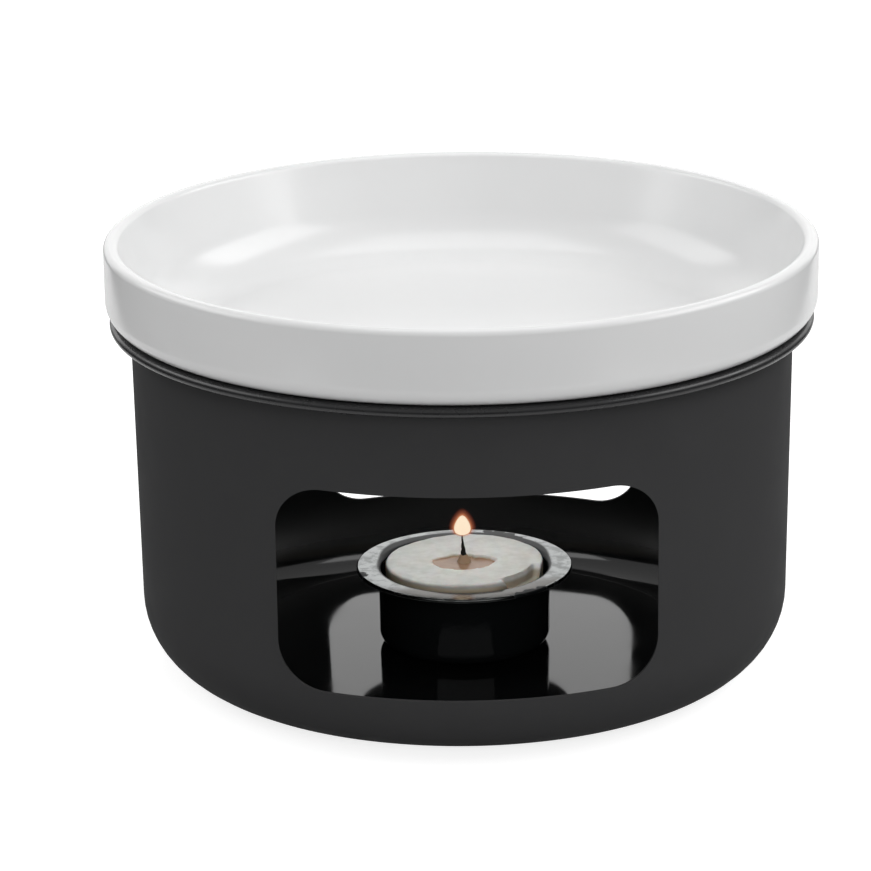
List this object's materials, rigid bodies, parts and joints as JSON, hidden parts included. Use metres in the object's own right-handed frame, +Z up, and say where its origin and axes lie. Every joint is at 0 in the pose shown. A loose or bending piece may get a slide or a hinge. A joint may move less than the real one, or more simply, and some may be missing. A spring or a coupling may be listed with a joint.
{
  "type": "cheese fondue set",
  "caption": "Round glazed fondue dish that rests on a black drawn-steel stand with front and rear windows and a candle in a lipped burner cup.",
  "frame": {"origin": "on the table, under the centre of the stand", "axes": "+Z up along the axis of stand, dish and cup; -Y out of the front window; +X to the right seen from the front"},
  "size_m": [0.164, 0.164, 0.1023],
  "materials": {
    "dish_glaze": "white gloss glaze",
    "stand_enamel": "black, satin outside and glossy inside",
    "cup_enamel": "glossy black, with the lip worn to bare metal",
    "wax": "dull wax",
    "wick_cotton": "charred",
    "clip_tin": "tinned"
  },
  "bodies": {
    "root": {"dish": "dish_glaze", "stand": "stand_enamel", "burner_cup": "cup_enamel", "candle": "wax", "wick": "wick_cotton", "wick_clip": "clip_tin"}
  },
  "joints": []
}
